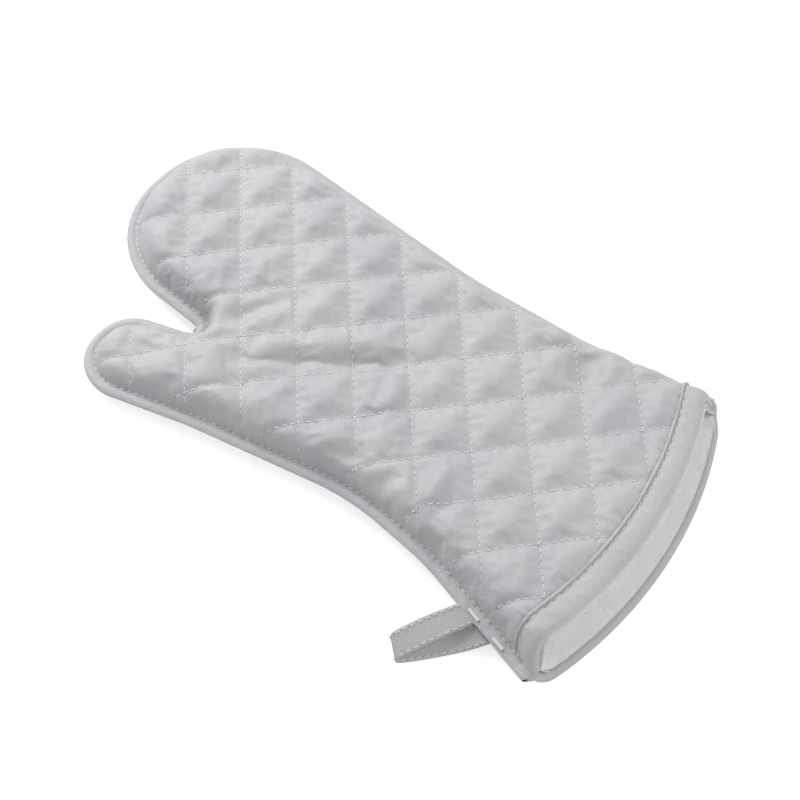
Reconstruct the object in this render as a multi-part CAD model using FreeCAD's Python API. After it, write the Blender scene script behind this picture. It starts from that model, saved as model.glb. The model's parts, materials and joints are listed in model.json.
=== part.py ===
"""A quilted oven mitt for either hand, lying flat with its palm up.

Two quilted panels, palm and back, are sewn together round the edge.  Each panel is a coated
outer shell, a layer of batting and a cotton lining, held together by crossing rows of quilting.
A folded tape binds the open cuff and a loop of the same tape hangs from the thumb-side seam.

The cloth bends across the knuckles and at the root of the thumb, so every layer is cut there
into a hand piece, a fingers piece and a thumb piece.  X runs across the mitt with the thumb at
-X, Y runs from the cuff to the fingertips and Z is up.  The origin ends up under the middle of
the mitt, on the surface that it lies on.
"""
import FreeCAD, Part
import math
import os

from FreeCAD import Vector

# --- Overall size of the mitt, mm -------------------------------------------------------------
finger_end_y = 297.0        # tip of the fingers lobe
cuff_end_y = -27.0          # lowest point of the cuff
mitt_thickness = 28.0       # palm surface above the back surface
seam_height = 9.0           # edge seam above the surface that the mitt lies on

# --- Plan of the sewn edge --------------------------------------------------------------------
finger_side_x = 71.0        # little-finger side of the fingers lobe
finger_width = 108.0        # across the fingers lobe
wrist_side_x = 66.0         # each side of the narrow wrist, from the middle line
wrist_y = 135.0             # narrowest place on the little-finger side
thumb_wrist_y = 102.0       # narrowest place on the thumb side
flare_y = 72.0              # where the gauntlet starts to flare
cuff_far_x = 96.0           # little-finger side of the flare, at the bottom of the pattern
cuff_thumb_x = -99.0        # thumb side of the flare, at the bottom of the pattern
pattern_end_y = -60.0       # bottom of the pattern, trimmed off by the cuff's curve
crotch_x, crotch_y = -41.0, 204.0   # where the two edges of the crotch would meet
thumb_tip_y = 253.0         # tip of the thumb
thumb_tip_inner_x = -57.0   # inner corner of the thumb's tip
thumb_tip_outer_x = -104.0  # outer corner of the thumb's tip
thumb_root_x, thumb_root_y = -84.0, 184.0   # bend in the thumb's outer edge
crotch_radius = 3.0
fingertip_radius = 53.0
fingertip_radius_inner = 52.0
thumb_inner_radius = 20.0
thumb_outer_radius = 23.0

# --- Cuff -------------------------------------------------------------------------------------
cuff_curve_radius = 212.0   # the cuff's edge is one wide arc
cuff_curve_x = -25.0        # its lowest point
cuff_slant = 12.0           # the palm panel is this much shorter than the back panel
binding_width = 11.5        # tape seen on each face
binding_thickness = 0.8

# --- Cloth ------------------------------------------------------------------------------------
flange_width = 5.5          # flat edge outside the topstitching
flange_thickness = 1.5      # each panel, pressed flat
palm_round = 12.5           # rounding of the palm side
back_round = 8.0            # rounding of the back side
shell_thickness = 0.9
batting_thickness = 3.5
lining_thickness = 0.5
layer_clearance = 0.2       # air between loose layers

# --- Stitching --------------------------------------------------------------------------------
diamond_width = 38.0        # one quilted diamond, across the mitt
diamond_length = 35.0       # and along it
diamond_start_y = 17.0      # a crossing of two rows on the middle line
thread_width = 0.7
thread_thickness = 0.3
channel_width = 1.2         # the rows pull the shell into shallow channels
channel_depth = 0.45

# --- Hanging loop -----------------------------------------------------------------------------
loop_tape_width = 10.0
loop_tape_thickness = 1.2
loop_gap = 7.0              # between the two legs
loop_length = 42.0          # out from the seam
loop_seat_y = 14.0          # middle of the loop on the thumb-side seam
loop_lean = 20.0            # degrees, the loop leans towards the fingers
loop_corner = 8.0           # mitre at the folded tip
loop_stitch_inset = 1.5
loop_tack_share = 0.7       # of the tape's width
loop_stitch_start = 4.0     # out from the seam
loop_hinge_out = 1.5        # the tape bends this far outside the sewn edge

# --- Bending ----------------------------------------------------------------------------------
flare_radius, wrist_radius = 70.0, 250.0
thumb_root_radius, thumb_wrist_radius = 150.0, 120.0
thumb_tip_outer_y = thumb_tip_y - 2
thumb_flare_x, thumb_flare_y = -wrist_side_x - 4, flare_y - 17
knuckle_y = 232.0           # the fingers bend here, just past the crotch
thumb_fold_x, thumb_fold_y = -52.5, 224.5   # a point on the thumb's fold, just past the crotch
thumb_fold_angle = 50.0     # degrees, direction of the thumb's fold from +X
fold_clearance = 0.3        # between the pieces on the two sides of a fold
crotch_split_x = -43.5      # between the fingers lobe and the thumb

REACH = 500.0               # past the end of everything


def rounded_outline(corners):
    """Closed wire through (x, y, radius) corners, with tangent arcs at the rounded ones."""
    legs = []
    for i, (x, y, radius) in enumerate(corners):
        point = Vector(x, y, 0)
        before = Vector(*corners[i - 1][:2], 0)
        after = Vector(*corners[(i + 1) % len(corners)][:2], 0)
        if radius == 0:
            legs.append((point, None, point))
            continue
        back = (before - point).normalize()
        forward = (after - point).normalize()
        half_angle = back.getAngle(forward) / 2
        run = radius / math.tan(half_angle)
        centre = point + (back + forward).normalize() * (radius / math.sin(half_angle))
        middle = centre + (point - centre).normalize() * radius
        legs.append((point + back * run, middle, point + forward * run))
    edges = []
    for i, (start, middle, end) in enumerate(legs):
        if middle is not None:
            edges.append(Part.Arc(start, middle, end).toShape())
        following = legs[(i + 1) % len(legs)][0]
        if (following - end).Length > 1e-6:
            edges.append(Part.makeLine(end, following))
    return Part.Wire(edges)


SEWN_EDGE = rounded_outline([
    (cuff_far_x, pattern_end_y, 0),
    (finger_side_x, flare_y, flare_radius),
    (wrist_side_x, wrist_y, wrist_radius),
    (finger_side_x, finger_end_y, fingertip_radius),
    (finger_side_x - finger_width, finger_end_y, fingertip_radius_inner),
    (crotch_x, crotch_y, crotch_radius),
    (thumb_tip_inner_x, thumb_tip_y, thumb_inner_radius),
    (thumb_tip_outer_x, thumb_tip_outer_y, thumb_outer_radius),
    (thumb_root_x, thumb_root_y, thumb_root_radius),
    (-wrist_side_x, thumb_wrist_y, thumb_wrist_radius),
    (thumb_flare_x, thumb_flare_y, thumb_wrist_radius),
    (cuff_thumb_x, pattern_end_y, 0),
])


def padded_body(depth):
    """The puffed body of the mitt, taken a depth inside its outer surface."""
    plan = Part.Face(SEWN_EDGE.makeOffset2D(-flange_width - depth))
    slab = plan.extrude(Vector(0, 0, mitt_thickness - 2 * depth))
    slab.translate(Vector(0, 0, depth))

    def rounded(solid, height, radius):
        rim = [edge for edge in solid.Edges
               if abs(edge.BoundBox.ZMin - height) < 1e-3 and edge.BoundBox.ZLength < 1e-3
               and edge.BoundBox.YMax > pattern_end_y + flange_width + depth + 10]
        return solid.makeFillet(radius, rim)

    slab = rounded(slab, mitt_thickness - depth, palm_round - depth)
    return rounded(slab, depth, back_round - depth)


def layer(outer_depth, inner_depth):
    """The hollow layer between two depths."""
    return padded_body(outer_depth).cut(padded_body(inner_depth))


def past_cuff(distance):
    """Everything farther than this distance inside the cuff's slanted, curved edge."""
    centre_y = cuff_end_y + cuff_curve_radius + distance
    span = 120.0
    rise = centre_y - math.sqrt(cuff_curve_radius ** 2 - span ** 2)
    left = Vector(cuff_curve_x - span, rise, 0)
    right = Vector(cuff_curve_x + span, rise, 0)
    lowest = Vector(cuff_curve_x, centre_y - cuff_curve_radius, 0)
    top_left = Vector(left.x, REACH, 0)
    top_right = Vector(right.x, REACH, 0)
    outline = Part.Wire([
        Part.Arc(left, lowest, right).toShape(),
        Part.makeLine(right, top_right),
        Part.makeLine(top_right, top_left),
        Part.makeLine(top_left, left),
    ])
    block = Part.Face(outline).extrude(Vector(0, 3 * cuff_slant, 3 * mitt_thickness))
    block.translate(Vector(0, -cuff_slant, -mitt_thickness))
    return block


def above_seam():
    return Part.makeBox(2 * REACH, 2 * REACH, REACH, Vector(-REACH, -REACH, seam_height))


def below_seam():
    return Part.makeBox(2 * REACH, 2 * REACH, REACH, Vector(-REACH, -REACH, seam_height - REACH))


def beyond_knuckles(clearance):
    """The fingers' side of the knuckle fold."""
    corner = Vector(crotch_split_x, knuckle_y + clearance, -REACH / 2)
    return Part.makeBox(REACH, REACH, REACH, corner)


def beyond_thumb_fold(clearance):
    """The thumb's side of the thumb fold, on the thumb's side of the crotch."""
    half_space = Part.makeBox(2 * REACH, REACH, REACH, Vector(-REACH, clearance, -REACH / 2))
    half_space.rotate(Vector(0, 0, 0), Vector(0, 0, 1), thumb_fold_angle)
    half_space.translate(Vector(thumb_fold_x, thumb_fold_y, 0))
    thumb_side = Part.makeBox(REACH, 2 * REACH, REACH,
                              Vector(crotch_split_x - REACH, -REACH, -REACH / 2))
    return half_space.common(thumb_side)


def split_at_folds(solid, name):
    """Cut one piece of cloth into its hand, fingers and thumb pieces."""
    gap = fold_clearance / 2
    hand = solid.cut([beyond_knuckles(-gap), beyond_thumb_fold(-gap)])
    return {
        name: hand,
        name + "_fingers": solid.common(beyond_knuckles(gap)),
        name + "_thumb": solid.common(beyond_thumb_fold(gap)),
    }


def flange(half):
    """The flat sewn edge outside the padding, one panel thick."""
    overlap = shell_thickness / 2
    outer = Part.Face(SEWN_EDGE)
    inner = Part.Face(SEWN_EDGE.makeOffset2D(-flange_width - overlap))
    ring = outer.cut(inner).extrude(Vector(0, 0, flange_thickness))
    base = seam_height if half == "palm" else seam_height - flange_thickness
    ring.translate(Vector(0, 0, base))
    return ring.common(past_cuff(binding_width + layer_clearance))


def quilting_rows(width):
    """Upright walls along every row of quilting, in two crossing directions."""
    slope = math.degrees(math.atan2(diamond_length, diamond_width))
    rows = []
    for turn in (slope, -slope):
        for number in range(-6, 16):
            row = Part.makeBox(2 * REACH, width, 3 * mitt_thickness,
                               Vector(-REACH, -width / 2, -mitt_thickness))
            row.rotate(Vector(0, 0, 0), Vector(0, 0, 1), turn)
            row.translate(Vector(0, diamond_start_y + number * diamond_length, 0))
            rows.append(row)
    return rows[0].fuse(rows[1:])


def band(outer_depth, inner_depth, start, end=None):
    """A hollow layer between two depths and two distances in from the cuff's edge."""
    ring = layer(outer_depth, inner_depth).common(past_cuff(start))
    return ring if end is None else ring.cut(past_cuff(end))


def shell(half, half_space, channels):
    """Outer cloth: channelled under the quilting, and thinned where the tape grips it."""
    step_start = binding_width + layer_clearance
    step_end = step_start + shell_thickness
    tuck_outer = binding_thickness + layer_clearance
    tuck_inner = tuck_outer + shell_thickness
    open_cloth = band(0, shell_thickness, step_start).cut(channels)
    step = band(0, tuck_inner, step_start, step_end)
    tucked = band(tuck_outer, tuck_inner, layer_clearance, step_end)
    return open_cloth.fuse([step, tucked]).common(half_space).fuse(flange(half))


def batting(half_space):
    """Padding between the shell and the lining, thinner inside the tape."""
    outer = shell_thickness + layer_clearance
    inner = outer + batting_thickness
    tuck_outer = binding_thickness + shell_thickness + 2 * layer_clearance
    step_end = binding_width + shell_thickness + 2 * layer_clearance
    padding = band(outer, inner, step_end)
    tucked = band(tuck_outer, inner, layer_clearance, step_end + layer_clearance)
    return padding.fuse(tucked).common(half_space)


lining_depth = shell_thickness + batting_thickness + 2 * layer_clearance
cavity_depth = lining_depth + lining_thickness
binding_inner_depth = cavity_depth + layer_clearance + binding_thickness


def lining(half_space):
    return band(lining_depth, cavity_depth, layer_clearance).common(half_space)


def quilting_thread(half_space, rows):
    """Thread of every row, lying in its channel and ending at the flange."""
    clearance = (channel_depth - thread_thickness) / 2
    start = binding_width + shell_thickness + 2 * layer_clearance
    thread = band(clearance, clearance + thread_thickness, start).common(rows)
    flange_height = 2 * (flange_thickness + layer_clearance)
    at_flange = Part.makeBox(2 * REACH, 2 * REACH, flange_height,
                             Vector(-REACH, -REACH, seam_height - flange_height / 2))
    return thread.common(half_space).cut(at_flange)


def edge_stitching():
    """Topstitching round the sewn edge: a top thread and the thread under it."""
    inset = flange_width - 2 * thread_width
    outer = Part.Face(SEWN_EDGE.makeOffset2D(-inset))
    inner = Part.Face(SEWN_EDGE.makeOffset2D(-inset - thread_width))
    ring = outer.cut(inner).extrude(Vector(0, 0, thread_thickness))
    lift = flange_thickness + layer_clearance
    top = ring.translated(Vector(0, 0, seam_height + lift))
    under = ring.translated(Vector(0, 0, seam_height - lift - thread_thickness))
    return top.fuse(under).common(past_cuff(binding_width + 2 * layer_clearance))


def binding_groove(width, top, bottom):
    """A row round the cuff, near the inner fold of the tape."""
    middle = binding_width - 2.5
    return band(top, bottom, middle - width / 2, middle + width / 2)


def cuff_binding():
    """Tape folded over the raw edges of the cuff, with its row of stitching sunk in."""
    outer_leaf = band(0, binding_thickness, -binding_thickness, binding_width)
    inner_leaf = band(cavity_depth + layer_clearance, binding_inner_depth,
                      -binding_thickness, binding_width)
    fold = band(0, binding_inner_depth, -binding_thickness, 0)
    groove = binding_groove(channel_width, -1.0, channel_depth)
    return outer_leaf.fuse([inner_leaf, fold]).cut(groove)


def binding_stitching():
    clearance = (channel_depth - thread_thickness) / 2
    return binding_groove(thread_width, clearance, clearance + thread_thickness)


def on_thumb_seam(solid):
    """Place a solid drawn along +X from the origin so that it leaves the thumb-side seam."""
    solid = solid.copy()
    solid.rotate(Vector(0, 0, 0), Vector(0, 0, 1), SEAM_OUTWARD - loop_lean)
    solid.translate(LOOP_SEAT)
    return solid


flare_top = Vector(thumb_flare_x, thumb_flare_y, 0)
flare_end = Vector(cuff_thumb_x, pattern_end_y, 0)
seam_direction = (flare_top - flare_end).normalize()
SEAM_OUTWARD = math.degrees(math.atan2(seam_direction.x, -seam_direction.y))
LOOP_SEAT = flare_end + seam_direction * ((loop_seat_y - pattern_end_y) / seam_direction.y)


def past_thumb_seam(clearance):
    """Everything outside the sewn edge at the loop."""
    block = Part.makeBox(REACH, 2 * REACH, REACH, Vector(clearance, -REACH, -REACH / 2))
    block.rotate(Vector(0, 0, 0), Vector(0, 0, 1), SEAM_OUTWARD)
    block.translate(LOOP_SEAT)
    return block


def loop_plan(inset, width):
    """The loop's flat U, a width of tape inside its outer edge, with a mitred tip."""
    half = loop_gap / 2 + loop_tape_width - inset
    tip = loop_length - inset
    corner = loop_corner - inset * (2 - math.sqrt(2))

    def outline(half, tip, corner):
        points = [Vector(-loop_length, -half, 0), Vector(tip - corner, -half, 0),
                  Vector(tip, -half + corner, 0), Vector(tip, half - corner, 0),
                  Vector(tip - corner, half, 0), Vector(-loop_length, half, 0)]
        return Part.Face(Part.makePolygon(points + points[:1]))

    inner_corner = max(corner - width * (2 - math.sqrt(2)), 1.0)
    return outline(half, tip, corner).cut(outline(half - width, tip - width, inner_corner))


def hanging_loop():
    tape = loop_plan(0, loop_tape_width).extrude(Vector(0, 0, loop_tape_thickness))
    tape.translate(Vector(0, 0, seam_height - loop_tape_thickness / 2))
    return on_thumb_seam(tape).common(past_thumb_seam(fold_clearance))


def loop_stitching():
    """Edge stitching on both faces of the loop's tape."""
    row = loop_plan(loop_stitch_inset, thread_width).extrude(Vector(0, 0, thread_thickness))
    lift = loop_tape_thickness / 2 + layer_clearance
    top = row.translated(Vector(0, 0, seam_height + lift))
    under = row.translated(Vector(0, 0, seam_height - lift - thread_thickness))
    return on_thumb_seam(top.fuse(under)).common(past_thumb_seam(loop_stitch_start))


def loop_tacks():
    """Two bars of close stitching that hold the loop's legs in the seam."""
    bars = []
    for side in (-1, 1):
        middle = side * (loop_gap + loop_tape_width) / 2
        length = loop_tape_width * loop_tack_share
        bar = Part.makeBox(2 * thread_width, length, thread_thickness,
                           Vector(-3.5 * thread_width, middle - length / 2,
                                  seam_height + flange_thickness + layer_clearance))
        bar.rotate(Vector(0, 0, 0), Vector(0, 0, 1), SEAM_OUTWARD)
        bar.translate(LOOP_SEAT)
        bars.append(bar)
    return bars[0].fuse(bars[1])


def build():
    """Every node of the mitt, by name, in the pattern's frame."""
    nodes = {}
    channels = quilting_rows(channel_width).cut(padded_body(channel_depth))
    rows = quilting_rows(thread_width)
    for half, half_space in (("palm", above_seam()), ("back", below_seam())):
        nodes.update(split_at_folds(shell(half, half_space, channels), half + "_shell"))
        nodes.update(split_at_folds(batting(half_space), half + "_batting"))
        nodes.update(split_at_folds(lining(half_space), half + "_lining"))
        nodes.update(split_at_folds(quilting_thread(half_space, rows), half + "_quilting"))
    nodes.update(split_at_folds(edge_stitching(), "edge_stitching"))
    nodes["cuff_binding"] = cuff_binding()
    nodes["binding_stitching"] = binding_stitching()
    nodes["hanging_loop"] = hanging_loop()
    nodes["loop_stitching"] = loop_stitching()
    nodes["loop_tacks"] = loop_tacks()
    return nodes


def main():
    nodes = build()
    box = Part.makeCompound(list(nodes.values())).BoundBox
    to_origin = Vector(-box.Center.x, -box.Center.y, -box.ZMin)
    os.makedirs("parts", exist_ok=True)
    for name, shape in nodes.items():
        shape.translate(to_origin)
        shape.exportStep("parts/" + name + ".step")
        print(f"{name:24s} {len(shape.Solids)} solids, {shape.Volume:9.0f} mm3, valid {shape.isValid()}")
    print("size", [round(side, 2) for side in (box.XLength, box.YLength, box.ZLength)])
    print("pattern origin at", [round(part, 3) for part in to_origin])
    knuckle = Vector(0, knuckle_y, mitt_thickness) + to_origin
    thumb = Vector(thumb_fold_x, thumb_fold_y, mitt_thickness) + to_origin
    outward = Vector(seam_direction.y, -seam_direction.x, 0) * -1
    loop = LOOP_SEAT + outward * loop_hinge_out + Vector(0, 0, seam_height) + to_origin
    print("knuckle fold through", [round(part, 3) for part in knuckle], "along X")
    print("thumb fold through", [round(part, 3) for part in thumb], "at", thumb_fold_angle)
    print("loop hinge through", [round(part, 3) for part in loop], "outward at", round(SEAM_OUTWARD, 3))


main()
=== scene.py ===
# %% [markdown]
# # A quilted oven mitt
# The mitt is two quilted panels sewn together round the edge, with a taped cuff and a hanging
# loop.  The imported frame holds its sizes, its bodies and its folds.  This script gives each layer
# of cloth its real look around that frame, in metres, and moves none of it.

# %% Load the frame
import json
import math

import bpy
import numpy as np
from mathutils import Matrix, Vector, kdtree
from mathutils.bvhtree import BVHTree
from mathutils.geometry import delaunay_2d_cdt


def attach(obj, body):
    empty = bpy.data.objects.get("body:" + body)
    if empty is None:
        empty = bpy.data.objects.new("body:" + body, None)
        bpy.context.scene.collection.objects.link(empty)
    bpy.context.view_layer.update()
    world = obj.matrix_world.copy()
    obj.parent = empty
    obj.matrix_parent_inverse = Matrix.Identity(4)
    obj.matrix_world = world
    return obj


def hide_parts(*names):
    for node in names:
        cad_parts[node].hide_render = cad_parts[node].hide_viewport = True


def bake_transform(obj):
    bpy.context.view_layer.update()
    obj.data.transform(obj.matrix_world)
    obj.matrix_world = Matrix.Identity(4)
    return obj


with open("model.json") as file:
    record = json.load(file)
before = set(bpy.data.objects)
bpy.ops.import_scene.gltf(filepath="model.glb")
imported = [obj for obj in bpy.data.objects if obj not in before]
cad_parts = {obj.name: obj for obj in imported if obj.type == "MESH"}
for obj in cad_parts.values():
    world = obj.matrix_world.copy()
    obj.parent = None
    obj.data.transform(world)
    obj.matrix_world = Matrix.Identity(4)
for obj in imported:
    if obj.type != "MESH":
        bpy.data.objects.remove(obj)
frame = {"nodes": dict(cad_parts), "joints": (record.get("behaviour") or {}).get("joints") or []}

bpy.ops.object.select_all(action="DESELECT")
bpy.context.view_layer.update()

# %% [markdown]
# ## Sizes
# The pattern is drawn about its own middle line, with Y from the cuff to the fingertips.  The
# knuckle fold sits at a known height of the pattern, so the frame's hinge gives the place of the
# pattern in the frame.

# %% Sizes of the pattern
MM = 0.001
KNUCKLE_Y = 232 * MM
THICKNESS = 28 * MM
SEAM_Z = 9 * MM
FLANGE = 5.5 * MM
CUFF_RADIUS = 212 * MM
CUFF_LOW = (-25 * MM, -27 * MM)
CUFF_SLANT = 12 * MM
TAPE = 11.5 * MM
DIAMOND = (38 * MM, 35 * MM)
DIAMOND_START_Y = 17 * MM
STITCH = 3.6 * MM
CELLS = 11                      # mesh steps along one side of a diamond

JOINTS = {joint["name"]: joint for joint in frame["joints"]}
KNUCKLE = Vector(JOINTS["fingers_flex"]["pos_m"])
THUMB_FOLD = Vector(JOINTS["thumb_flex"]["pos_m"])
THUMB_FOLD_DIRECTION = Vector(JOINTS["thumb_flex"]["axis"]).normalized()
THUMB_OUT = Vector((-THUMB_FOLD_DIRECTION.y, THUMB_FOLD_DIRECTION.x, 0))
LOOP_SEAT = Vector(JOINTS["loop_swing"]["pos_m"])
PATTERN = np.array([KNUCKLE.x, KNUCKLE.y - KNUCKLE_Y])
FOLD_REACH = 12.5 * MM          # the cloth bends over this much on each side of a fold
print("pattern origin", PATTERN)

# %% [markdown]
# ## Camera, floor and light
# A long lens looks down on the mitt from beyond its fingertips' left.  The floor is plain and
# pale.  Two large soft lamps and an even sky light the cloth at a plain level.

# %% Camera
def to_frame(x, y, z=0.0):
    return Vector((x + PATTERN[0], y + PATTERN[1], z))


AIM = to_frame(-6.1 * MM, 122.1 * MM)
AZIMUTH, ELEVATION, DISTANCE = math.radians(-50), math.radians(56), 0.9
back = Vector((math.sin(AZIMUTH) * math.cos(ELEVATION), -math.cos(AZIMUTH) * math.cos(ELEVATION),
               math.sin(ELEVATION)))
camera = bpy.data.objects.new("camera", bpy.data.cameras.new("camera"))
camera.data.lens = 86.5
camera.data.sensor_width = 36
camera.data.clip_start = 0.01
camera.location = AIM + back * DISTANCE
camera.rotation_euler = back.to_track_quat("Z", "Y").to_euler()
bpy.context.collection.objects.link(camera)
bpy.context.scene.camera = camera

# %% Light and floor
def area_lamp(name, place, size, power):
    lamp = bpy.data.objects.new(name, bpy.data.lights.new(name, "AREA"))
    lamp.data.size = size
    lamp.data.energy = power
    lamp.location = AIM + Vector(place)
    lamp.rotation_euler = Vector(place).to_track_quat("Z", "Y").to_euler()
    bpy.context.collection.objects.link(lamp)


def node_material(name):
    material = bpy.data.materials.new(name)
    material.use_nodes = True
    nodes = material.node_tree.nodes
    nodes.clear()
    return material, nodes, material.node_tree.links


area_lamp("key_lamp", (0.25, 1.15, 1.0), 0.8, 20)
area_lamp("fill_lamp", (0.5, -1.2, 0.8), 1.0, 8.5)
world = bpy.data.worlds.new("sky")
world.use_nodes = True
bpy.context.scene.world = world
sky = world.node_tree.nodes["Background"]
sky.inputs["Color"].default_value = (1, 1, 1, 1)
sky.inputs["Strength"].default_value = 0.52
bpy.context.scene.view_settings.view_transform = "Standard"

bpy.ops.mesh.primitive_plane_add(size=6, location=(AIM.x, AIM.y, 0))
floor = bpy.context.object
floor.name = "floor"
floor_material, nodes, links = node_material("floor_white")
paper = nodes.new("ShaderNodeBsdfDiffuse")
paper.inputs["Color"].default_value = (0.9, 0.9, 0.9, 1)
glow = nodes.new("ShaderNodeEmission")
glow.inputs["Color"].default_value = (1, 1, 1, 1)
ray = nodes.new("ShaderNodeLightPath")
mixed = nodes.new("ShaderNodeMixShader")
added = nodes.new("ShaderNodeAddShader")
surface = nodes.new("ShaderNodeOutputMaterial")
glow.inputs["Strength"].default_value = 0.6
links.new(paper.outputs[0], added.inputs[0])
links.new(glow.outputs[0], added.inputs[1])
links.new(ray.outputs["Is Camera Ray"], mixed.inputs[0])
links.new(paper.outputs[0], mixed.inputs[1])
links.new(added.outputs[0], mixed.inputs[2])
links.new(mixed.outputs[0], surface.inputs["Surface"])
floor.data.materials.append(floor_material)

# %% [markdown]
# ## Cloth finishes
# The shell is a plain weave under a thin silver coating: pale grey, with a soft sheen, a fine
# grain and slightly cooler and warmer patches.  The lining is plain white cotton.

# %% Cloth materials
def woven_cloth(name, colour, patches, roughness, metal, grain, thread=0.45 * MM):
    """A woven cloth: two crossing ribs of threads, a fine grain and broad soft patches."""
    material, nodes, links = node_material(name)
    shader = nodes.new("ShaderNodeBsdfPrincipled")
    surface = nodes.new("ShaderNodeOutputMaterial")
    links.new(shader.outputs[0], surface.inputs["Surface"])
    place = nodes.new("ShaderNodeTexCoord")
    broad = nodes.new("ShaderNodeTexNoise")
    broad.inputs["Scale"].default_value = 28
    broad.inputs["Detail"].default_value = 3
    fine = nodes.new("ShaderNodeTexNoise")
    fine.inputs["Scale"].default_value = 1400
    fine.inputs["Detail"].default_value = 2
    tint = nodes.new("ShaderNodeValToRGB")
    tint.color_ramp.elements[0].position = 0.35
    tint.color_ramp.elements[1].position = 0.65
    tint.color_ramp.elements[0].color = (*[c * (1 - patches) for c in colour[:2]], colour[2] * (1 - patches * 0.6), 1)
    tint.color_ramp.elements[1].color = (*[c * (1 + patches * 0.6) for c in colour[:2]], colour[2], 1)
    speckle = nodes.new("ShaderNodeMix")
    speckle.data_type = "RGBA"
    speckle.blend_type = "MULTIPLY"
    speckle.inputs["Factor"].default_value = grain
    links.new(place.outputs["Object"], broad.inputs["Vector"])
    links.new(place.outputs["Object"], fine.inputs["Vector"])
    links.new(broad.outputs["Fac"], tint.inputs["Fac"])
    links.new(tint.outputs["Color"], speckle.inputs["A"])
    links.new(fine.outputs["Color"], speckle.inputs["B"])
    links.new(speckle.outputs["Result"], shader.inputs["Base Color"])
    heights = []
    for direction in ("X", "Y"):
        rib = nodes.new("ShaderNodeTexWave")
        rib.bands_direction = direction
        rib.inputs["Scale"].default_value = 1 / (thread * 2 * math.pi)
        rib.inputs["Distortion"].default_value = 1.2
        rib.inputs["Detail"].default_value = 1
        links.new(place.outputs["Object"], rib.inputs["Vector"])
        heights.append(rib)
    weave = nodes.new("ShaderNodeMath")
    weave.operation = "MULTIPLY"
    links.new(heights[0].outputs["Fac"], weave.inputs[0])
    links.new(heights[1].outputs["Fac"], weave.inputs[1])
    rough = nodes.new("ShaderNodeMath")
    rough.operation = "MULTIPLY_ADD"
    rough.inputs[1].default_value = 0.5
    links.new(fine.outputs["Fac"], rough.inputs[0])
    links.new(weave.outputs[0], rough.inputs[2])
    bump = nodes.new("ShaderNodeBump")
    bump.inputs["Strength"].default_value = 0.6
    bump.inputs["Distance"].default_value = 0.12 * MM
    links.new(rough.outputs[0], bump.inputs["Height"])
    rumple = nodes.new("ShaderNodeTexNoise")
    rumple.inputs["Scale"].default_value = 130
    rumple.inputs["Detail"].default_value = 2
    rumple.inputs["Distortion"].default_value = 1.5
    links.new(place.outputs["Object"], rumple.inputs["Vector"])
    fold = nodes.new("ShaderNodeBump")
    fold.inputs["Strength"].default_value = 0.5
    fold.inputs["Distance"].default_value = 0.9 * MM
    links.new(rumple.outputs["Fac"], fold.inputs["Height"])
    links.new(fold.outputs["Normal"], bump.inputs["Normal"])
    links.new(bump.outputs["Normal"], shader.inputs["Normal"])
    shader.inputs["Roughness"].default_value = roughness
    shader.inputs["Metallic"].default_value = metal
    shader.inputs["Sheen Weight"].default_value = 0.15
    shader.inputs["Sheen Roughness"].default_value = 0.4
    return material


# Also makes the near-black finish that is the painted shade of the needle holes.
def thread_finish(name, colour):
    material, nodes, links = node_material(name)
    shader = nodes.new("ShaderNodeBsdfPrincipled")
    surface = nodes.new("ShaderNodeOutputMaterial")
    links.new(shader.outputs[0], surface.inputs["Surface"])
    place = nodes.new("ShaderNodeTexCoord")
    twist = nodes.new("ShaderNodeTexNoise")
    twist.inputs["Scale"].default_value = 900
    shade = nodes.new("ShaderNodeValToRGB")
    shade.color_ramp.elements[0].color = (*[c * 0.82 for c in colour], 1)
    shade.color_ramp.elements[1].color = (*colour, 1)
    links.new(place.outputs["Object"], twist.inputs["Vector"])
    links.new(twist.outputs["Fac"], shade.inputs["Fac"])
    links.new(shade.outputs["Color"], shader.inputs["Base Color"])
    shader.inputs["Roughness"].default_value = 0.55
    return material


SILVER = woven_cloth("silver_cloth_finish", (0.53, 0.53, 0.545), 0.06, 0.66, 0.10, 0.25)
TAPE_SILVER = woven_cloth("silver_tape_finish", (0.55, 0.55, 0.56), 0.05, 0.62, 0.10, 0.3)
COTTON = woven_cloth("lining_cotton_finish", (0.93, 0.93, 0.93), 0.03, 0.9, 0.0, 0.12)
WADDING = woven_cloth("batting_finish", (0.8, 0.79, 0.76), 0.05, 0.95, 0.0, 0.4, 1.2 * MM)
THREAD = thread_finish("thread_finish", (0.74, 0.74, 0.75))
# Painted shade: the needle holes get a near-black finish that stands for the shade inside them.
NEEDLE_HOLE_SHADE = thread_finish("needle_hole_painted_shade", (0.16, 0.16, 0.17))

# %% [markdown]
# ## The pattern
# The sewn edge is a polygon with rounded corners.  Its inset lines give the flange's topstitching
# and the start of the padding.  The cuff is one wide arc that leans back, so that the palm panel
# is shorter than the back panel.

# %% Outline of the sewn edge
CORNERS = [
    (96, -60, 0), (71, 72, 70), (66, 135, 250), (71, 297, 53), (-37, 297, 52), (-41, 204, 3),
    (-57, 253, 20), (-104, 251, 23), (-84, 184, 150), (-66, 102, 120), (-70, 55, 120), (-99, -60, 0),
]


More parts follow.
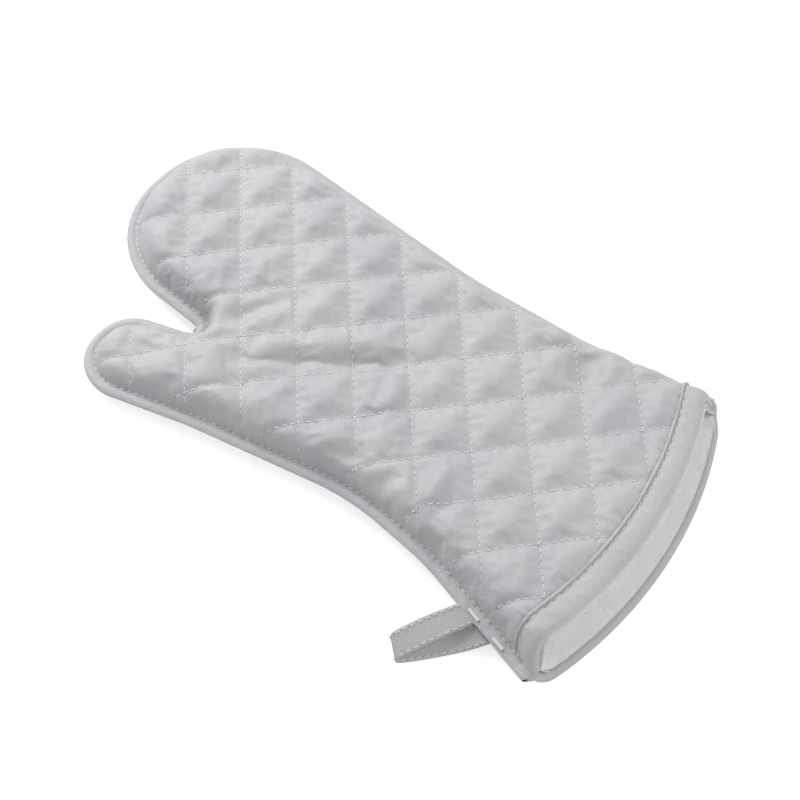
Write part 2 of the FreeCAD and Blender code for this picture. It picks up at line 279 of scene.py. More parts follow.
def rounded_line(corners, step=0.25 * MM):
    """Points along an open polygon with rounded corners, a step apart."""
    points = [np.array(corners[0][:2]) * MM]
    for i in range(1, len(corners) - 1):
        corner = np.array(corners[i][:2]) * MM
        radius = corners[i][2] * MM
        back = np.array(corners[i - 1][:2]) * MM - corner
        forward = np.array(corners[i + 1][:2]) * MM - corner
        back, forward = back / np.linalg.norm(back), forward / np.linalg.norm(forward)
        half = math.acos(np.clip(back @ forward, -1, 1)) / 2
        middle = (back + forward) / np.linalg.norm(back + forward)
        centre = corner + middle * radius / math.sin(half)
        run = radius / math.tan(half)
        start, end = corner + back * run - centre, corner + forward * run - centre
        sweep = math.pi - 2 * half
        turn = 1 if start[0] * end[1] - start[1] * end[0] > 0 else -1
        for share in np.linspace(0, 1, max(6, int(sweep * radius / step))):
            a = turn * sweep * share
            c, s = math.cos(a), math.sin(a)
            points.append(centre + np.array([c * start[0] - s * start[1], s * start[0] + c * start[1]]))
    points.append(np.array(corners[-1][:2]) * MM)
    return resample(np.array(points), step)


def resample(points, step):
    """The same line with evenly spaced points."""
    length = np.r_[0, np.cumsum(np.linalg.norm(np.diff(points, axis=0), axis=1))]
    keep = np.r_[True, np.diff(length) > 1e-9]
    wanted = np.linspace(0, length[-1], max(2, int(round(length[-1] / step)) + 1))
    return np.c_[np.interp(wanted, length[keep], points[keep, 0]),
                 np.interp(wanted, length[keep], points[keep, 1])]


def inset(line, distance):
    """The line moved to its left, which is inside the mitt."""
    along = np.gradient(line, axis=0)
    along /= np.linalg.norm(along, axis=1)[:, None]
    return line + np.c_[-along[:, 1], along[:, 0]] * distance


SEWN_EDGE = rounded_line(CORNERS)
print("sewn edge", len(SEWN_EDGE), "points")


def tree_of(line):
    tree = kdtree.KDTree(len(line))
    for number, point in enumerate(line):
        tree.insert((*point, 0), number)
    tree.balance()
    return tree


PADDING_LINE = tree_of(inset(SEWN_EDGE, FLANGE))
EDGE_TREE = tree_of(SEWN_EDGE)


def distance_to(tree, points):
    return np.array([tree.find((x, y, 0))[2] for x, y in points])


def depth_inside(points):
    """How far inside the topstitched line; nothing on the flange."""
    return distance_to(PADDING_LINE, points) * (distance_to(EDGE_TREE, points) > FLANGE)


# %% The cuff's edge
def cuff_line(x, z, distance=0.0):
    """Where the cuff's slanted, curved edge crosses a point of the cloth, in pattern Y."""
    arc = CUFF_LOW[1] + CUFF_RADIUS - np.sqrt(CUFF_RADIUS ** 2 - (x - CUFF_LOW[0]) ** 2)
    return arc + CUFF_SLANT * z / THICKNESS + distance


# %% [markdown]
# ## How high each panel stands
# The cloth rises from the topstitched line in a rounded shoulder and then runs nearly level.  The
# mouth is propped open, so the cuff stands higher than the thumb.  A few dents and ridges are
# laid over that, as short soft-edged strokes, where the quilt creases as it lies.

# %% Height of the rows of quilting
def smooth(value, low, high):
    t = np.clip((value - low) / (high - low), 0, 1)
    return t * t * (3 - 2 * t)


def stroke(points, start, end, depth, width):
    """A soft dent (negative) or ridge (positive) along a straight stroke, in mm."""
    start, end = np.array(start) * MM, np.array(end) * MM
    along = end - start
    t = np.clip((points - start) @ along / (along @ along), 0, 1)
    away = np.linalg.norm(points - start - t[:, None] * along, axis=1)
    fade = 1 - 0.75 * (2 * t - 1) ** 4
    return depth * MM * fade * np.exp(-(away / (width * MM)) ** 2)


CREASES = [
    ((-46, 184), (2, 122), -3.6, 5.0),
    ((-38, 206), (-8, 188), -2.2, 5.0),
    ((-50, 196), (-62, 170), -1.6, 5.0),
    ((58, 62), (40, 52), -3.0, 6.0),
    ((70, 84), (52, 74), 1.8, 6.0),
    ((-56, 66), (-36, 72), 2.2, 4.5),
    ((-30, 112), (-10, 118), 1.6, 5.0),
    ((-66, 96), (-48, 86), -2.0, 4.5),
    ((-64, 122), (-50, 106), -1.6, 4.0),
]


def top_height(points):
    """Height of the palm panel's rows."""
    x, y = points[:, 0], points[:, 1]
    inside = depth_inside(points)
    level = 22.5 * MM - 1.5 * MM * smooth(y, 0.20, 0.27) + 3.0 * MM * (1 - smooth(y, 0.00, 0.11))
    level -= 5.0 * MM * smooth((points - (-0.045, 0.2)) @ np.array([-0.6, 0.8]), 0.0, 0.045) * (x < -0.04)
    far_side = smooth(x, 0.0, 0.05) * (1 - smooth(y, 0.02, 0.10))
    shoulder = 13 * MM - 5 * MM * far_side
    rise = np.clip(inside / shoulder, 0, 1)
    rounded = np.sqrt(np.clip(1 - (1 - rise) ** 2.2, 0, 1))
    height = SEAM_Z + (level - SEAM_Z) * rounded
    for crease in CREASES:
        height += 1.5 * stroke(points, *crease) * smooth(inside, 0, 8 * MM)
    return height


def back_height(points):
    """Height of the back panel's rows: flat on the table, rising to the seam at the edge."""
    inside = depth_inside(points)
    rise = np.clip(inside / (9 * MM), 0, 1)
    rounded = np.sqrt(np.clip(1 - (1 - rise) ** 2, 0, 1))
    return SEAM_Z - (SEAM_Z - 1.6 * MM) * rounded


def flange_height(points, side):
    """The sewn edge: a flat bead between the outer edge and the topstitching."""
    outside = distance_to(EDGE_TREE, points)
    across = np.clip(outside / FLANGE, 0, 1)
    bead = 1.5 * MM * np.sin(np.pi * np.clip(across * 1.02, 0, 1)) ** 0.6
    x, y = points.T
    pucker = 0.3 * MM * np.sin(x / (1.1 * MM)) * np.sin(y / (1.4 * MM)) * np.sin(np.pi * across)
    return SEAM_Z + side * (bead + pucker)


# %% [markdown]
# ## The mesh of one panel
# A quilted panel puckers between its rows, so its mesh has to follow them.  The points are laid
# on a skewed grid whose lines run along both families of rows, with a fixed number of steps to a
# diamond's side, so every row is a chain of mesh points that the cloth simulation can hold.

# %% Quilting grid
SIDE_A = np.array([DIAMOND[0] / 2, DIAMOND[1] / 2])
SIDE_B = np.array([-DIAMOND[0] / 2, DIAMOND[1] / 2])
START = np.array([0, DIAMOND_START_Y])
TO_GRID = np.linalg.inv(np.c_[SIDE_A, SIDE_B])
SPLIT_POINT = np.array(THUMB_FOLD[:2]) - PATTERN - np.array(THUMB_OUT[:2]) * FOLD_REACH
OUT = np.array(THUMB_OUT[:2])


def in_grid(points):
    """Where points lie, counted in diamonds along the two directions of rows."""
    return (points - START) @ TO_GRID.T


def thumb_side(points):
    """True on the thumb's side of the line where the thumb's own piece of cover starts."""
    return ((points - SPLIT_POINT) @ OUT > 0) & (points[:, 0] < SPLIT_POINT[0] + 4 * MM)


def cuff_boundary(height, step):
    """The panel's cuff edge from the thumb side to the other side."""
    sides = []
    for line in (SEWN_EDGE[::-1], SEWN_EDGE):
        near = line[: int(130 * MM / (0.25 * MM))]
        gap = near[:, 1] - cuff_line(near[:, 0], np.full(len(near), SEAM_Z))
        sides.append(near[np.argmax(gap > 0)][0])
    x = np.linspace(sides[0], sides[1], 600)
    y = cuff_line(x, np.full(len(x), SEAM_Z))
    for _ in range(6):
        y = cuff_line(x, height(np.c_[x, y]))
    return resample(np.c_[x, y], step)


def panel_mesh(name, height, side, step=2.35 * MM, flange=None):
    """A flat triangle mesh of one panel, lifted to the height of its rows."""
    flange = flange or flange_height
    cuff = cuff_boundary(lambda p: np.where(outside_padding(p), flange(p, side), height(p)), step)
    keep = (SEWN_EDGE[:, 1] > np.interp(SEWN_EDGE[:, 0], cuff[:, 0], cuff[:, 1]) + 0.3 * MM)
    edge = resample(SEWN_EDGE[keep], step)
    loop = np.r_[edge, cuff[1:-1] if np.linalg.norm(edge[-1] - cuff[0]) < step / 2 else cuff]
    rings = [inset(SEWN_EDGE, d * MM) for d in (1.2, 2.8, 4.3, 5.5, 7.2)]
    rings = [resample(ring, step) for ring in rings]
    side_steps = np.arange(-16 * CELLS, 16 * CELLS + 1) / CELLS
    a, b = np.meshgrid(side_steps, side_steps)
    grid = START + a.reshape(-1, 1) * SIDE_A + b.reshape(-1, 1) * SIDE_B
    grid = grid[(np.abs(grid[:, 0]) < 0.13) & (grid[:, 1] > -0.05) & (grid[:, 1] < 0.30)]
    grid = grid[inside_outline(grid)]
    grid = grid[distance_to(EDGE_TREE, grid) > 8.6 * MM]
    inner = np.concatenate(rings + [grid])
    inner = inner[inner[:, 1] > np.interp(inner[:, 0], cuff[:, 0], cuff[:, 1]) + 1.3 * MM]
    points = np.r_[loop, inner]
    borders = [(i, (i + 1) % len(loop)) for i in range(len(loop))]
    found = delaunay_2d_cdt([Vector(p) for p in points], borders, [], 1, 1e-7)
    flat = np.array([tuple(v) for v in found[0]])
    z = np.where(outside_padding(flat), flange(flat, side), height(flat))
    place = np.c_[flat + PATTERN, z]
    mesh = bpy.data.meshes.new(name)
    faces = [f if side > 0 else f[::-1] for f in found[2]]
    mesh.from_pydata([tuple(p) for p in place], [], faces)
    mesh.update()
    obj = bpy.data.objects.new(name, mesh)
    bpy.context.collection.objects.link(obj)
    print(name, len(mesh.vertices), "points", len(mesh.polygons), "faces")
    return obj


def outside_padding(points):
    """True on the flange."""
    return distance_to(EDGE_TREE, points) < FLANGE


def inside_outline(points):
    """True inside the sewn edge, by counting crossings of a ray along X."""
    inside = np.zeros(len(points), bool)
    line = np.r_[SEWN_EDGE[::8], SEWN_EDGE[:1]]
    for (x0, y0), (x1, y1) in zip(line[:-1], line[1:]):
        if y0 == y1:
            continue
        crosses = (y0 > points[:, 1]) != (y1 > points[:, 1])
        inside ^= crosses & (points[:, 0] < x0 + (points[:, 1] - y0) * (x1 - x0) / (y1 - y0))
    return inside


# %% [markdown]
# ## Puffing the quilt
# The padding pushes the shell out between the rows.  The rows, the flange and the cuff's edge are
# pinned, the cloth is given slightly more length than the gap it spans, and air pressure fills
# it, so that it swells into diamonds and wrinkles where it is gathered.

# %% Cloth simulation of one panel
def coordinates(obj):
    flat = np.empty(len(obj.data.vertices) * 3)
    obj.data.vertices.foreach_get("co", flat)
    return flat.reshape(-1, 3)


def set_coordinates(obj, place):
    obj.data.vertices.foreach_set("co", place.ravel())
    obj.data.update()


def quilt_puff(points):
    """How far each point is from the rows: 0 on a row and 1 in the middle of a diamond."""
    a, b = in_grid(points).T
    return np.abs(np.sin(math.pi * a) * np.sin(math.pi * b)) ** 0.6


def puff_panel(obj, side, start_puff, pressure, slack, frames=14):
    """Swell a panel between its rows, in place."""
    place = coordinates(obj)
    points = place[:, :2] - PATTERN
    grid = in_grid(points)
    on_row = np.abs(grid - np.round(grid)).min(axis=1) < 0.02
    on_edge = distance_to(EDGE_TREE, points) < FLANGE + 1 * MM
    cuff_gap = points[:, 1] - cuff_line(points[:, 0], place[:, 2])
    pinned = on_row | on_edge | (cuff_gap < TAPE)
    shoulder = smooth(depth_inside(points), 0, 5 * MM)
    place[:, 2] += side * start_puff * quilt_puff(points) * shoulder * ~pinned
    set_coordinates(obj, place)
    group = obj.vertex_groups.new(name="pinned")
    group.add([int(i) for i in np.nonzero(pinned)[0]], 1.0, "REPLACE")
    cloth = obj.modifiers.new("cloth", "CLOTH")
    cloth.settings.quality = 5
    cloth.settings.mass = 0.3
    cloth.settings.bending_stiffness = 0.4
    cloth.settings.use_pressure = True
    cloth.settings.uniform_pressure_force = pressure
    cloth.settings.vertex_group_mass = "pinned"
    cloth.settings.shrink_min = -slack
    cloth.settings.effector_weights.gravity = 0
    cloth.point_cache.frame_end = frames
    for number in range(1, frames + 1):
        bpy.context.scene.frame_set(number)
    bpy.context.view_layer.objects.active = obj
    bpy.ops.object.modifier_apply(modifier=cloth.name)
    bpy.context.scene.frame_set(1)
    obj.vertex_groups.clear()
    swollen = coordinates(obj)
    moved = np.clip(swollen - place, -4 * MM, 4 * MM)
    set_coordinates(obj, place + moved)
    print(obj.name, "swelled by up to", round(float(np.abs(moved[:, 2]).max() / MM), 2), "mm")


def subdivide(obj):
    bpy.context.view_layer.objects.active = obj
    finer = obj.modifiers.new("finer", "SUBSURF")
    finer.levels = finer.render_levels = 1
    bpy.ops.object.modifier_apply(modifier=finer.name)


# %% The two shells
palm = panel_mesh("palm_cover", top_height, 1)
puff_panel(palm, 1, 2.4 * MM, 7.5, 0.037)
back_panel = panel_mesh("back_cover", back_height, -1)
puff_panel(back_panel, -1, 1.4 * MM, 4.0, 0.02)
for panel, side in ((palm, 1), (back_panel, -1)):
    place = coordinates(panel)
    place[:, 2] = np.clip(place[:, 2], 0.2 * MM, THICKNESS + 4 * MM)
    set_coordinates(panel, place)
    subdivide(panel)


# %% [markdown]
# ## One piece for the hand and fingers, one for the thumb
# A piece of cloth can bend across only one fold, so each cover is cut where the thumb starts to
# bend.

# %% Cutting off the thumb
def new_piece(name, vertices, faces, materials, face_materials=None, normals=None):
    vertices = np.array(vertices)
    vertices[:, 2] = np.maximum(vertices[:, 2], 0)
    mesh = bpy.data.meshes.new(name)
    mesh.from_pydata([tuple(v) for v in vertices], [], [tuple(int(i) for i in f) for f in faces])
    for material in materials:
        mesh.materials.append(material)
    if face_materials is not None:
        mesh.polygons.foreach_set("material_index", face_materials)
    mesh.polygons.foreach_set("use_smooth", [True] * len(mesh.polygons))
    mesh.update()
    if normals is not None:
        mesh.normals_split_custom_set_from_vertices([tuple(n) for n in normals])
    obj = bpy.data.objects.new(name, mesh)
    bpy.context.collection.objects.link(obj)
    return obj


def bend_with(piece, body):
    """Bake the piece's placement into its mesh; both bodies get the same step."""
    if body == "fingers":
        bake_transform(piece)
    else:
        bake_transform(piece)


def split_thumb(obj, replaced):
    """Turn one whole-mitt mesh into a hand-and-fingers piece and a thumb piece."""
    place = coordinates(obj)
    normals = np.empty(len(place) * 3)
    obj.data.vertices.foreach_get("normal", normals)
    normals = normals.reshape(-1, 3)
    faces = [tuple(p.vertices) for p in obj.data.polygons]
    indexes = [p.material_index for p in obj.data.polygons]
    centres = np.array([place[list(f)].mean(axis=0)[:2] for f in faces]) - PATTERN
    on_thumb = thumb_side(centres)
    materials = [m for m in obj.data.materials]
    name = obj.name
    bpy.data.objects.remove(obj)
    made = []
    for body, chosen in (("fingers", ~on_thumb), ("thumb", on_thumb)):
        picked = [faces[i] for i in np.nonzero(chosen)[0]]
        used = np.unique(np.concatenate([np.array(f) for f in picked]))
        renumber = {int(old): new for new, old in enumerate(used)}
        piece = new_piece(name if body == "fingers" else name + "_thumb", place[used],
                          [[renumber[int(i)] for i in f] for f in picked], materials,
                          [indexes[i] for i in np.nonzero(chosen)[0]], normals[used])
        bend_with(piece, body)
        endings = ("", "_fingers") if body == "fingers" else ("_thumb",)
        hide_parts(*[node + ending for node in replaced for ending in endings])
        made.append(piece)
    print(name, [len(piece.data.polygons) for piece in made], "faces")
    return made


def surface_of(obj):
    mesh = obj.data
    return BVHTree.FromPolygons([tuple(v.co) for v in mesh.vertices],
                                [tuple(p.vertices) for p in mesh.polygons])


palm_surface = surface_of(palm)
back_surface = surface_of(back_panel)
for panel, half in ((palm, "palm"), (back_panel, "back")):
    panel.data.materials.append(SILVER)
    for piece in split_thumb(panel, [half + "_shell"]):
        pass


# %% [markdown]
# ## Lining and batting
# The cotton lining is a second quilted skin inside the cover, seen through the open cuff.  The
# batting fills the space between the two.

# %% Lining panels
COVER_TO_LINING = 4.9 * MM


def sunk(height, side, depth, ripple):
    """A height function for a skin at this depth inside the cover."""
    def lowered(points):
        top = height(points)
        stand = side * (top - SEAM_Z)
        stand = stand * smooth(depth_inside(points), 1 * MM, 9 * MM)
        inward = ripple * quilt_puff(points) * smooth(points[:, 1] - cuff_line(points[:, 0], top), 0.8 * TAPE, 1.4 * TAPE)
        return SEAM_Z + side * np.clip(stand - depth - inward, 0, None)
    return lowered


def flat_flange(points, side):
    return np.full(len(points), SEAM_Z)


linings = {}
for half, height, side in (("palm", top_height, 1), ("back", back_height, -1)):
    cloth_height = sunk(height, side, COVER_TO_LINING, 1.6 * MM)
    lining = panel_mesh(half + "_lining_cloth", cloth_height, -side, flange=flat_flange)
    subdivide(lining)
    lining.data.materials.append(COTTON)
    linings[half] = surface_of(lining)
    for piece in split_thumb(lining, [half + "_lining"]):
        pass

# %% Batting
def filled(obj, inner_height):
    """Close a skin into a pad by giving it an inner skin and a rim."""
    place = coordinates(obj)
    inner = place.copy()
    inner[:, 2] = inner_height(place[:, :2] - PATTERN)
    count = len(place)
    faces = [list(p.vertices) for p in obj.data.polygons]
    edges = {}
    for face in faces:
        for a, b in zip(face, face[1:] + face[:1]):
            edges[(a, b)] = True
    rim = [(a, b) for a, b in edges if (b, a) not in edges]
    faces += [[i + count for i in face[::-1]] for face in faces]
    faces += [[b, a, a + count, b + count] for a, b in rim]
    name = obj.name
    bpy.data.objects.remove(obj)
    return new_piece(name, np.r_[place, inner], faces, [WADDING])


for half, height, side in (("palm", top_height, 1), ("back", back_height, -1)):
    pad_height = sunk(height, side, 2.0 * MM, 0.0)
    pad = panel_mesh(half + "_batting_pad", pad_height, side, 4.7 * MM, flat_flange)
    pad = filled(pad, sunk(height, side, 4.2 * MM, 0.0))
    for piece in split_thumb(pad, [half + "_batting"]):
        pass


# %% [markdown]
# ## Stitches
# Every stitch is a short arch of thread that dives into the cloth at both ends, with a dark disc of
# painted shade for the needle hole beside it.  A row is a line drawn on the pattern and dropped onto
# the puffed cover.

# %% Stitch maker
def one_stitch(length, thick, sides=6, rings=6):
    """Vertices and faces of one stitch along X, standing on Z = 0, and a dark disc of painted shade for its needle
    hole.
    """
    vertices, faces, kinds = [], [], []
    for i in range(rings):
        t = i / (rings - 1) * 2 - 1
        rise = 0.55 * thick * (1 - t ** 4) - 0.25 * thick
        swell = thick / 2 * (1 - 0.45 * t ** 6)
        for j in range(sides):
            a = 2 * math.pi * j / sides
            vertices.append((t * length / 2, swell * math.cos(a), rise + swell * math.sin(a)))
    for i in range(rings - 1):
        for j in range(sides):
            k = (j + 1) % sides
            faces.append((i * sides + j, i * sides + k, (i + 1) * sides + k, (i + 1) * sides + j))
            kinds.append(0)
    for ring in (0, rings - 1):
        loop = [ring * sides + j for j in range(sides)]
        faces.append(tuple(loop[::-1] if ring else loop))
        kinds.append(0)
    # Painted shade: a flat dark disc just above the cloth past the stitch's end stands for the shade inside the
    # needle hole.
    first = len(vertices)
    for j in range(6):
        a = 2 * math.pi * j / 6
        vertices.append((length / 2 + 0.3 * MM + 0.26 * MM * math.cos(a), 0.26 * MM * math.sin(a), 0.06 * MM))
    faces.append(tuple(range(first, first + 6)))
    kinds.append(1)
    return np.array(vertices), faces, kinds


def stitches(name, rows, surface, side, length, thick, pitch=STITCH):
    """Stitches along rows of pattern points, dropped onto a surface; one mesh for all the rows."""
    shape, faces, kinds = one_stitch(length, thick)
    all_vertices, all_faces, all_kinds = [], [], []
    for row in rows:
        run = np.r_[0, np.cumsum(np.linalg.norm(np.diff(row, axis=0), axis=1))]
        for middle in np.arange(pitch / 2, run[-1] - pitch / 3, pitch):
            ends = []
            for where in (middle - length / 2, middle + length / 2):
                x, y = np.interp(where, run, row[:, 0]), np.interp(where, run, row[:, 1])
                hit = surface.ray_cast(Vector((x + PATTERN[0], y + PATTERN[1], side * 0.1)),
                                       Vector((0, 0, -side)))
                if hit[0] is None:
                    break
                ends.append(hit)
            if len(ends) < 2:
                continue
            along = (ends[1][0] - ends[0][0]).normalized()
            up = (ends[0][1] + ends[1][1]).normalized()
            if up.z * side < 0:
                up = -up
            across = up.cross(along).normalized()
            up = along.cross(across)
            centre = (ends[0][0] + ends[1][0]) / 2
            turned = np.array([along, across, up])
            first = len(all_vertices) * len(shape)
            all_vertices.append(shape @ turned + np.array(centre))
            all_faces += [tuple(i + first for i in f) for f in faces]
            all_kinds += kinds
    if not all_vertices:
        return None
    print(name, len(all_vertices), "stitches")
    return new_piece(name, np.concatenate(all_vertices), all_faces, [THREAD, NEEDLE_HOLE_SHADE], all_kinds)


def runs_inside(line, keep):
    """The stretches of a line where keep is true."""
    numbers = np.nonzero(keep)[0]
    if len(numbers) < 8:
        return []
    return [line[part] for part in np.split(numbers, np.nonzero(np.diff(numbers) > 1)[0] + 1) if len(part) > 8]


def quilting_rows(side):
    rows = []
    along = np.arange(-0.32, 0.32, 0.5 * MM)
    for direction, other in ((SIDE_A, SIDE_B), (SIDE_B, SIDE_A)):
        unit = direction / np.linalg.norm(direction)
        for number in range(-12, 16):
            line = START + number * other + along[:, None] * unit
            z = np.full(len(line), THICKNESS if side > 0 else 0.0)
            keep = inside_outline(line) & (distance_to(EDGE_TREE, line) > FLANGE + 0.6 * MM)
            keep &= line[:, 1] > cuff_line(line[:, 0], z, TAPE)
            rows += runs_inside(line, keep)
    return rows


def shared_out(rows):
    """Rows for the hand-and-fingers piece and rows for the thumb piece."""
    main, thumb = [], []
    for row in rows:
        mask = thumb_side(row)
        main += runs_inside(row, ~mask)
        thumb += runs_inside(row, mask)
    return main, thumb


def stitch_pair(name, rows, surface, side, nodes, length, thick, pitch=STITCH):
    for body, part in zip(("fingers", "thumb"), shared_out(rows)):
        ending = "" if body == "fingers" else "_thumb"
        piece = stitches(name + ending, part, surface, side, length, thick, pitch)
        if piece is None:
            continue
        bend_with(piece, body)
        endings = ("", "_fingers") if body == "fingers" else ("_thumb",)
        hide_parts(*[node + e for node in nodes for e in endings])


# %% Quilting and topstitching
for half, surface, side in (("palm", palm_surface, 1), ("back", back_surface, -1)):
    stitch_pair(half + "_quilting_stitches", quilting_rows(side), surface, side,
                [half + "_quilting"], 2.6 * MM, 0.55 * MM)
    edge_row = inset(SEWN_EDGE, FLANGE - 0.3 * MM)
    z = np.full(len(edge_row), SEAM_Z)
    edge_row = runs_inside(edge_row, edge_row[:, 1] > cuff_line(edge_row[:, 0], z, TAPE))
    stitch_pair(half + "_edge_stitches", edge_row, surface, side,
                ["edge_stitching"] if side > 0 else [], 2.5 * MM, 0.55 * MM)


# %% Quilting seen inside the mouth
inside_rows = [row for row in quilting_rows(-1) if row[:, 1].min() < 60 * MM]
inside_rows = [part for row in inside_rows for part in runs_inside(row, row[:, 1] < 90 * MM)]
sewn = stitches("lining_stitches", inside_rows, linings["back"], 1, 2.6 * MM, 0.45 * MM)
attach(sewn, "hand")
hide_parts("back_quilting")


# %% [markdown]
# ## The cuff's binding
# A strip of silver tape is folded over the raw edge of both panels and topstitched near its inner
# fold.  It is a profile carried round the mouth: up over the outer leaf, round the fold and back
# along the inner leaf.

# %% Mouth of the cuff
def side_x(y, side):
    """X of the sewn edge at a height of the pattern, on the thumb side or the other."""
    line = SEWN_EDGE[::-1] if side < 0 else SEWN_EDGE
    near = line[: int(150 * MM / (0.25 * MM))]
    return np.interp(y, near[:, 1], near[:, 0])


def panel_z(points, height, side):
    return np.where(outside_padding(points), flange_height(points, side), height(points))


def mouth_stations(height, side, count):
    """Evenly spaced places along one panel's cuff edge, as a share of the mitt's width."""
    edge = cuff_boundary(lambda p: panel_z(p, height, side), 0.5 * MM)
    z = panel_z(edge, height, side)
    run = np.r_[0, np.cumsum(np.linalg.norm(np.diff(np.c_[edge, z], axis=0), axis=1))]
    wanted = np.linspace(0, run[-1], count)
    x, y = np.interp(wanted, run, edge[:, 0]), np.interp(wanted, run, edge[:, 1])
    share = (x - side_x(y, -1)) / (side_x(y, 1) - side_x(y, -1))
    return share, y


def mouth_surface(distances, count=150):
    """Points of the cover round the mouth: stations by distances in from the cuff's edge."""
    rings = []
    for height, side in ((top_height, 1), (back_height, -1)):
        share, edge_y = mouth_stations(height, side, count)
        ring = []
        for distance in distances:
            y = edge_y + distance
            x = side_x(y, -1) + share * (side_x(y, 1) - side_x(y, -1))
            points = np.c_[x, y]
            ring.append(np.c_[points + PATTERN, panel_z(points, height, side)])
        ring = np.array(ring).transpose(1, 0, 2)
        rings.append(ring if side > 0 else ring[::-1])
    return np.r_[rings[0][:-1], rings[1][:-1]]


def leaf_profile():
    """(distance in from the cuff edge, height over the cloth) along the outer leaf."""
    return [(11.5, -0.2), (11.6, 0.75), (11.1, 1.05), (10.2, 0.85), (9.0, 0.55), (7.8, 0.95),
            (6.0, 1.25), (4.0, 1.35), (2.2, 1.25), (0.8, 0.9), (-0.1, 0.3)]


CUFF_PILE = 3.6                 # mm, one panel's layers squeezed inside the tape
INNER_SHARE = 0.85              # the inner leaf is a little narrower than the outer one

# %% Binding tape
def binding_tape():
    outer = leaf_profile()
    distances = np.array([d for d, _ in outer]) * MM
    cloth = mouth_surface(distances)
    around = np.roll(cloth, -1, axis=0) - np.roll(cloth, 1, axis=0)
    inward = np.gradient(cloth, axis=1)
    outward = np.cross(inward, around)
    outward /= np.linalg.norm(outward, axis=2)[:, :, None] + 1e-12
    for _ in range(3):
        outward = (np.roll(outward, 1, axis=0) + outward * 2 + np.roll(outward, -1, axis=0)) / 4
        outward /= np.linalg.norm(outward, axis=2)[:, :, None] + 1e-12
    if outward[40, 5, 2] < 0:
        outward = -outward
    stations, count = cloth.shape[0], len(outer)
    lift = np.array([h for _, h in outer]) * MM
    turn = np.arange(stations)[:, None] * 2 * math.pi / stations
    ruck = 0.22 * MM * np.sin(turn * 61 + distances * 700) * np.sin(turn * 23 + 1.0)
    ruck = ruck * smooth(distances, 0.5 * MM, 4 * MM) * (distances < 10.5 * MM)
    leaf = cloth + outward * (lift + ruck)[:, :, None]
    cloth = mouth_surface(distances * INNER_SHARE)
    half_gap = np.abs(cloth[:, :, 2] - SEAM_Z)
    pile = np.minimum(CUFF_PILE * MM, 0.4 * MM + 0.55 * half_gap)
    inner = cloth[:, ::-1] - outward[:, ::-1] * (pile[:, ::-1] + lift[::-1] * 0.8)[:, :, None]
    fold_y = -1.1 * MM
    fold = (leaf[:, -1] + inner[:, 0]) / 2
    fold[:, 1] += fold_y
    upper = leaf[:, -1] * 0.72 + inner[:, 0] * 0.28
    upper[:, 1] += fold_y * 0.75
    lower = leaf[:, -1] * 0.28 + inner[:, 0] * 0.72
    lower[:, 1] += fold_y * 0.75
    rows = np.concatenate([leaf, upper[:, None], fold[:, None], lower[:, None], inner], axis=1)
    wide = rows.shape[1]
    by_seam = np.minimum(np.arange(stations) % (stations // 2), -np.arange(stations) % (stations // 2)) < 6
    for _ in range(6):
        eased = (np.roll(rows, 1, axis=0) + np.roll(rows, -1, axis=0)) / 2
        rows = np.where(by_seam[:, None, None], eased, rows)
    faces = []
    for i in range(stations):
        j = (i + 1) % stations
        for k in range(wide):
            m = (k + 1) % wide
            faces.append((i * wide + k, j * wide + k, j * wide + m, i * wide + m))
    tape = new_piece("cuff_binding_tape", rows.reshape(-1, 3), faces, [TAPE_SILVER])
    outward_faces(tape)
    print("binding", stations, "stations of", wide, "points")
    return tape


def outward_faces(obj):
    bpy.ops.object.select_all(action="DESELECT")
    bpy.context.view_layer.objects.active = obj
    obj.select_set(True)
    bpy.ops.object.mode_set(mode="EDIT")
    bpy.ops.mesh.select_all(action="SELECT")
    bpy.ops.mesh.normals_make_consistent(inside=False)
    bpy.ops.object.mode_set(mode="OBJECT")
    obj.select_set(False)


binding = binding_tape()
subdivide(binding)
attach(binding, "hand")
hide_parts("cuff_binding")
binding_surface = surface_of(binding)

# %% Stitching on the binding
for half, height, side in (("palm", top_height, 1), ("back", back_height, -1)):
    share, edge_y = mouth_stations(height, side, 300)
    y = edge_y + 9.0 * MM
    row = resample(np.c_[side_x(y, -1) + share * (side_x(y, 1) - side_x(y, -1)), y], 0.5 * MM)
    row = row[5:-5]
    sewn = stitches(half + "_binding_stitches", [row], binding_surface, side, 3.2 * MM, 0.55 * MM, 4.9 * MM)
    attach(sewn, "hand")
    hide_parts("binding_stitching")

share, edge_y = mouth_stations(back_height, -1, 300)
y = edge_y + 7.2 * MM
row = resample(np.c_[side_x(y, -1) + share * (side_x(y, 1) - side_x(y, -1)), y], 0.5 * MM)
row = row[len(row) // 8: -len(row) // 8]
sewn = stitches("inner_binding_stitches", [row], binding_surface, 1, 3.2 * MM, 0.5 * MM, 4.9 * MM)
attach(sewn, "hand")
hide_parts("binding_stitching")


# %% [markdown]
# ## Hanging loop
# The same tape, edge-stitched and folded back on itself, comes out of the thumb-side seam.  The
# upper leg lies over the lower one and the two open towards the seam.

# %% Loop of tape
LOOP_LINE = [
    # middle of the tape, then half its width as a vector, in mm of the pattern
    ((-70.5, 21.5, 8.6), (1.0, 5.6, 0.6)),
    ((-79.0, 25.5, 9.8), (1.6, 5.3, 1.3)),
    ((-92.0, 32.0, 9.4), (2.4, 4.9, 2.0)),
    ((-103.5, 37.6, 7.6), (3.0, 4.4, 2.6)),
    ((-107.6, 39.4, 6.6), (3.2, 4.2, 2.8)),
    ((-108.8, 39.6, 5.2), (3.3, 4.2, 2.6)),
    ((-107.2, 37.6, 4.0), (3.3, 4.4, 1.9)),
    ((-97.0, 29.0, 3.1), (2.4, 5.0, 1.2)),
    ((-86.0, 20.0, 4.0), (1.7, 5.4, 0.8)),
    ((-76.0, 12.5, 7.2), (1.2, 5.6, 0.6)),
    ((-71.5, 10.5, 8.2), (1.0, 5.6, 0.4)),
]


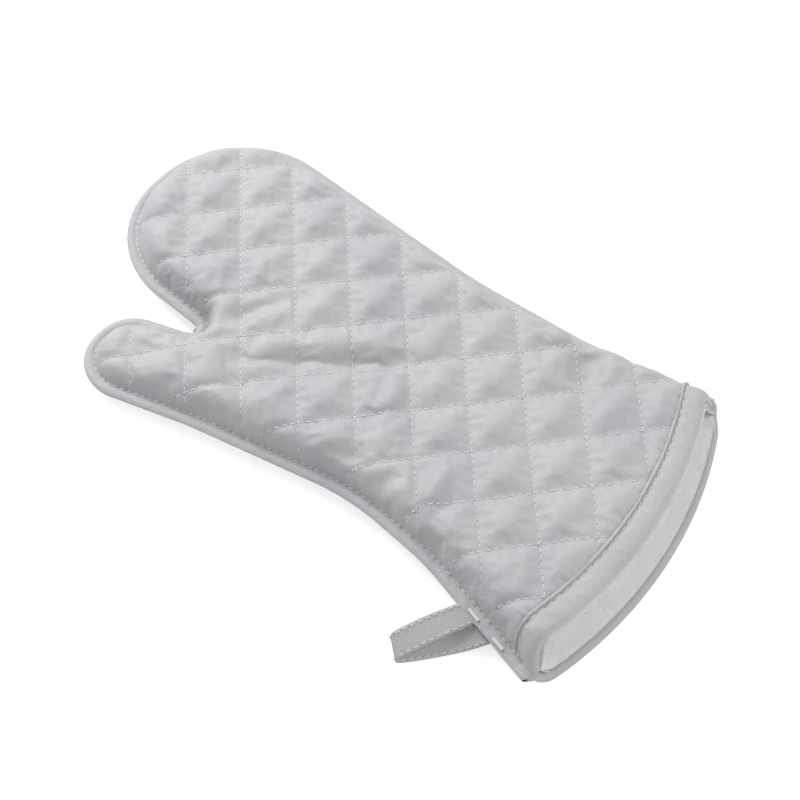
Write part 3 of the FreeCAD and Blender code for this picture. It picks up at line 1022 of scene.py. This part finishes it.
def smooth_line(points, count):
    """A Catmull-Rom curve through points."""
    points = np.array(points, float)
    padded_points = np.r_[[2 * points[0] - points[1]], points, [2 * points[-1] - points[-2]]]
    made = []
    for t in np.linspace(0, len(points) - 1 - 1e-9, count):
        i, f = int(t), t - int(t)
        p0, p1, p2, p3 = padded_points[i:i + 4]
        made.append(0.5 * (2 * p1 + (p2 - p0) * f + (2 * p0 - 5 * p1 + 4 * p2 - p3) * f ** 2
                           + (3 * p1 - p0 - 3 * p2 + p3) * f ** 3))
    return np.array(made)


def swing_with(piece):
    """Bake the piece's placement into its mesh."""
    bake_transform(piece)


middles = smooth_line([m for m, _ in LOOP_LINE], 90) * MM
halves = smooth_line([h for _, h in LOOP_LINE], 90) * MM
across_steps = np.linspace(-1, 1, 9)
middles[:, :2] += PATTERN
strip = middles[:, None] + halves[:, None] * across_steps[None, :, None]
count, wide = strip.shape[:2]
quads = [(i * wide + k, i * wide + k + 1, (i + 1) * wide + k + 1, (i + 1) * wide + k)
         for i in range(count - 1) for k in range(wide - 1)]
loop = new_piece("loop_tape", strip.reshape(-1, 3), quads, [TAPE_SILVER])
bpy.context.view_layer.objects.active = loop
thick = loop.modifiers.new("thickness", "SOLIDIFY")
thick.thickness = 0.9 * MM
thick.offset = 0
bpy.ops.object.modifier_apply(modifier=thick.name)
subdivide(loop)
swing_with(loop)
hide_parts("hanging_loop")
loop_surface = surface_of(loop)


# %% Stitches along the loop's edges
def stitches_on_tape(name, offset, first, last):
    """A row of stitches along the tape, this share of its half width from the middle."""
    shape, faces, kinds = one_stitch(2.4 * MM, 0.5 * MM)
    line = middles + halves * offset
    tangent = np.gradient(middles, axis=0)
    normal = np.cross(tangent, halves)
    normal /= np.linalg.norm(normal, axis=1)[:, None]
    run = np.r_[0, np.cumsum(np.linalg.norm(np.diff(line, axis=0), axis=1))]
    vertices, all_faces, all_kinds = [], [], []
    for middle in np.arange(run[-1] * first, run[-1] * last, STITCH):
        centre = np.array([np.interp(middle, run, line[:, k]) for k in range(3)])
        up = np.array([np.interp(middle, run, normal[:, k]) for k in range(3)])
        along = np.array([np.interp(middle + MM, run, line[:, k]) for k in range(3)]) - centre
        along /= np.linalg.norm(along)
        across = np.cross(up, along)
        across /= np.linalg.norm(across)
        up = np.cross(along, across)
        for face_side in (1, -1):
            turned = np.array([along, across * face_side, up * face_side])
            start = len(vertices) * len(shape)
            vertices.append(shape @ turned + centre + up * face_side * 0.5 * MM)
            all_faces += [tuple(i + start for i in f) for f in faces]
            all_kinds += kinds
    return new_piece(name, np.concatenate(vertices), all_faces, [THREAD, NEEDLE_HOLE_SHADE], all_kinds)


for name, offset in (("loop_stitches_upper", 0.78), ("loop_stitches_lower", -0.78)):
    row = stitches_on_tape(name, offset, 0.1, 0.92)
    swing_with(row)
    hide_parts("loop_stitching")

# %% [markdown]
# ## What is left of the CAD
# Only the bar tacks that hold the loop's legs are shown as they are, with the thread's finish.

# %% Carried-over nodes
for node in ("loop_tacks",):
    for material_slot in frame["nodes"][node].material_slots:
        material_slot.material = THREAD

# %% Update the scene
bpy.context.view_layer.update()
